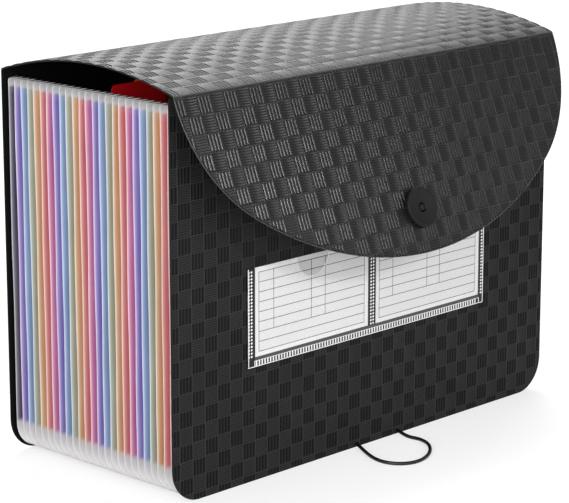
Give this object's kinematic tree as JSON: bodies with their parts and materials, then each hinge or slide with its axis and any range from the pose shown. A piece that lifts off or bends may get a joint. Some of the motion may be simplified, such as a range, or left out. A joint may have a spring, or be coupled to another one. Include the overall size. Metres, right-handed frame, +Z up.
{
  "type": "expanding file folder",
  "caption": "Standing accordion file folder with embossed covers, an arched hinged top and flap with a button, coloured pocket dividers in a pleated film gusset, and an elastic loop.",
  "frame": {"origin": "on the floor, under the middle of the folder's box, without its cord", "axes": "+X across the covers, +Y from the front cover to the back cover, +Z up"},
  "size_m": [0.33, 0.1904, 0.246],
  "materials": {
    "cover_black": "satin",
    "button_black": "satin",
    "clear_film": "gloss",
    "label_paper": "matte",
    "frosted_film": "satin",
    "elastic_black": "matte",
    "barb_plastic": "satin",
    "divider_red": "satin",
    "divider_orange": "satin",
    "divider_olive": "satin",
    "divider_blue": "satin",
    "divider_purple": "satin",
    "divider_pink": "satin"
  },
  "bodies": {
    "back": {"back_cover": "cover_black", "gusset_film": "frosted_film"},
    "front": {"front_cover": "cover_black", "label_holder": "clear_film", "elastic_cord": "elastic_black", "cord_barbs": "barb_plastic"},
    "card_left": {"label_card_left": "label_paper"},
    "card_right": {"label_card_right": "label_paper"},
    "divider_01": {"divider_01": "divider_red"},
    "divider_02": {"divider_02": "divider_orange"},
    "divider_03": {"divider_03": "divider_olive"},
    "divider_04": {"divider_04": "divider_blue"},
    "divider_05": {"divider_05": "divider_purple"},
    "divider_06": {"divider_06": "divider_pink"},
    "divider_07": {"divider_07": "divider_red"},
    "divider_08": {"divider_08": "divider_orange"},
    "divider_09": {"divider_09": "divider_olive"},
    "divider_10": {"divider_10": "divider_blue"},
    "divider_11": {"divider_11": "divider_purple"},
    "divider_12": {"divider_12": "divider_pink"},
    "divider_13": {"divider_13": "divider_red"},
    "divider_14": {"divider_14": "divider_orange"},
    "divider_15": {"divider_15": "divider_olive"},
    "divider_16": {"divider_16": "divider_blue"},
    "divider_17": {"divider_17": "divider_purple"},
    "divider_18": {"divider_18": "divider_pink"},
    "divider_19": {"divider_19": "divider_red"},
    "divider_20": {"divider_20": "divider_orange"},
    "divider_21": {"divider_21": "divider_olive"},
    "divider_22": {"divider_22": "divider_blue"},
    "divider_23": {"divider_23": "divider_purple"},
    "divider_24": {"divider_24": "divider_purple"},
    "top_leaf_1": {"top_strip_01": "cover_black", "top_strip_02": "cover_black", "top_strip_03": "cover_black", "top_strip_04": "cover_black"},
    "top_leaf_2": {"top_strip_05": "cover_black", "top_strip_06": "cover_black", "top_strip_07": "cover_black", "top_strip_08": "cover_black"},
    "top_leaf_3": {"top_strip_09": "cover_black", "top_strip_10": "cover_black", "top_strip_11": "cover_black", "top_strip_12": "cover_black"},
    "top_leaf_4": {"top_strip_13": "cover_black", "top_strip_14": "cover_black", "top_strip_15": "cover_black", "top_strip_16": "cover_black"},
    "flap": {"flap": "cover_black", "button": "button_black", "button_rivet": "button_black"}
  },
  "joints": [
    {"name": "front_cover_slide", "type": "slide", "parent": "back", "child": "front", "axis": [0, 1, 0], "range_m": [0, 0.1042], "deforming": ["gusset_film"]},
    {"name": "divider_01_slide", "type": "slide", "parent": "back", "child": "divider_01", "axis": [0, 1, 0], "range_m": [0, 0.10004]},
    {"name": "divider_02_slide", "type": "slide", "parent": "back", "child": "divider_02", "axis": [0, 1, 0], "range_m": [0, 0.09587]},
    {"name": "divider_03_slide", "type": "slide", "parent": "back", "child": "divider_03", "axis": [0, 1, 0], "range_m": [0, 0.09171]},
    {"name": "divider_04_slide", "type": "slide", "parent": "back", "child": "divider_04", "axis": [0, 1, 0], "range_m": [0, 0.08754]},
    {"name": "divider_05_slide", "type": "slide", "parent": "back", "child": "divider_05", "axis": [0, 1, 0], "range_m": [0, 0.08337]},
    {"name": "divider_06_slide", "type": "slide", "parent": "back", "child": "divider_06", "axis": [0, 1, 0], "range_m": [0, 0.0792]},
    {"name": "divider_07_slide", "type": "slide", "parent": "back", "child": "divider_07", "axis": [0, 1, 0], "range_m": [0, 0.07503]},
    {"name": "divider_08_slide", "type": "slide", "parent": "back", "child": "divider_08", "axis": [0, 1, 0], "range_m": [0, 0.07087]},
    {"name": "divider_09_slide", "type": "slide", "parent": "back", "child": "divider_09", "axis": [0, 1, 0], "range_m": [0, 0.0667]},
    {"name": "divider_10_slide", "type": "slide", "parent": "back", "child": "divider_10", "axis": [0, 1, 0], "range_m": [0, 0.06253]},
    {"name": "divider_11_slide", "type": "slide", "parent": "back", "child": "divider_11", "axis": [0, 1, 0], "range_m": [0, 0.05836]},
    {"name": "divider_12_slide", "type": "slide", "parent": "back", "child": "divider_12", "axis": [0, 1, 0], "range_m": [0, 0.05419]},
    {"name": "divider_13_slide", "type": "slide", "parent": "back", "child": "divider_13", "axis": [0, 1, 0], "range_m": [0, 0.05003]},
    {"name": "divider_14_slide", "type": "slide", "parent": "back", "child": "divider_14", "axis": [0, 1, 0], "range_m": [0, 0.04586]},
    {"name": "divider_15_slide", "type": "slide", "parent": "back", "child": "divider_15", "axis": [0, 1, 0], "range_m": [0, 0.04169]},
    {"name": "divider_16_slide", "type": "slide", "parent": "back", "child": "divider_16", "axis": [0, 1, 0], "range_m": [0, 0.03752]},
    {"name": "divider_17_slide", "type": "slide", "parent": "back", "child": "divider_17", "axis": [0, 1, 0], "range_m": [0, 0.03335]},
    {"name": "divider_18_slide", "type": "slide", "parent": "back", "child": "divider_18", "axis": [0, 1, 0], "range_m": [0, 0.02919]},
    {"name": "divider_19_slide", "type": "slide", "parent": "back", "child": "divider_19", "axis": [0, 1, 0], "range_m": [0, 0.02502]},
    {"name": "divider_20_slide", "type": "slide", "parent": "back", "child": "divider_20", "axis": [0, 1, 0], "range_m": [0, 0.02085]},
    {"name": "divider_21_slide", "type": "slide", "parent": "back", "child": "divider_21", "axis": [0, 1, 0], "range_m": [0, 0.01668]},
    {"name": "divider_22_slide", "type": "slide", "parent": "back", "child": "divider_22", "axis": [0, 1, 0], "range_m": [0, 0.01251]},
    {"name": "divider_23_slide", "type": "slide", "parent": "back", "child": "divider_23", "axis": [0, 1, 0], "range_m": [0, 0.00835]},
    {"name": "divider_24_slide", "type": "slide", "parent": "back", "child": "divider_24", "axis": [0, 1, 0], "range_m": [0, 0.00418]},
    {"name": "lid_hinge", "type": "hinge", "parent": "back", "child": "top_leaf_1", "pos_m": [0, 0.09383, 0.23375], "axis": [-1, 0, 0], "range_deg": [0, 170]},
    {"name": "crease_04", "type": "hinge", "parent": "top_leaf_1", "child": "top_leaf_2", "pos_m": [0, 0.05804, 0.24236], "axis": [-1, 0, 0], "range_deg": [0, 8.5]},
    {"name": "crease_08", "type": "hinge", "parent": "top_leaf_2", "child": "top_leaf_3", "pos_m": [0, 0.02137, 0.24546], "axis": [-1, 0, 0], "range_deg": [0, 8.5]},
    {"name": "crease_12", "type": "hinge", "parent": "top_leaf_3", "child": "top_leaf_4", "pos_m": [0, -0.01535, 0.24297], "axis": [-1, 0, 0], "range_deg": [0, 8.5]},
    {"name": "flap_hinge", "type": "hinge", "parent": "top_leaf_4", "child": "flap", "pos_m": [0, -0.05127, 0.23495], "axis": [-1, 0, 0], "range_deg": [-20, 130], "stiffness_Nm_per_rad": 0.03, "springref_deg": 11.46},
    {"name": "card_left_slide", "type": "slide", "parent": "front", "child": "card_left", "axis": [0, 0, 1], "range_m": [0, 0.045]},
    {"name": "card_right_slide", "type": "slide", "parent": "front", "child": "card_right", "axis": [0, 0, 1], "range_m": [0, 0.045]}
  ],
  "couplings": [
    {"joint": "divider_01_slide", "follows": "front_cover_slide", "ratio": 0.96},
    {"joint": "divider_02_slide", "follows": "front_cover_slide", "ratio": 0.92},
    {"joint": "divider_03_slide", "follows": "front_cover_slide", "ratio": 0.88},
    {"joint": "divider_04_slide", "follows": "front_cover_slide", "ratio": 0.84},
    {"joint": "divider_05_slide", "follows": "front_cover_slide", "ratio": 0.8},
    {"joint": "divider_06_slide", "follows": "front_cover_slide", "ratio": 0.76},
    {"joint": "divider_07_slide", "follows": "front_cover_slide", "ratio": 0.72},
    {"joint": "divider_08_slide", "follows": "front_cover_slide", "ratio": 0.68},
    {"joint": "divider_09_slide", "follows": "front_cover_slide", "ratio": 0.64},
    {"joint": "divider_10_slide", "follows": "front_cover_slide", "ratio": 0.6},
    {"joint": "divider_11_slide", "follows": "front_cover_slide", "ratio": 0.56},
    {"joint": "divider_12_slide", "follows": "front_cover_slide", "ratio": 0.52},
    {"joint": "divider_13_slide", "follows": "front_cover_slide", "ratio": 0.48},
    {"joint": "divider_14_slide", "follows": "front_cover_slide", "ratio": 0.44},
    {"joint": "divider_15_slide", "follows": "front_cover_slide", "ratio": 0.4},
    {"joint": "divider_16_slide", "follows": "front_cover_slide", "ratio": 0.36},
    {"joint": "divider_17_slide", "follows": "front_cover_slide", "ratio": 0.32},
    {"joint": "divider_18_slide", "follows": "front_cover_slide", "ratio": 0.28},
    {"joint": "divider_19_slide", "follows": "front_cover_slide", "ratio": 0.24},
    {"joint": "divider_20_slide", "follows": "front_cover_slide", "ratio": 0.2},
    {"joint": "divider_21_slide", "follows": "front_cover_slide", "ratio": 0.16},
    {"joint": "divider_22_slide", "follows": "front_cover_slide", "ratio": 0.12},
    {"joint": "divider_23_slide", "follows": "front_cover_slide", "ratio": 0.08},
    {"joint": "divider_24_slide", "follows": "front_cover_slide", "ratio": 0.04},
    {"joint": "crease_04", "follows": "lid_hinge", "ratio": 0.05},
    {"joint": "crease_08", "follows": "lid_hinge", "ratio": 0.05},
    {"joint": "crease_12", "follows": "lid_hinge", "ratio": 0.05}
  ]
}
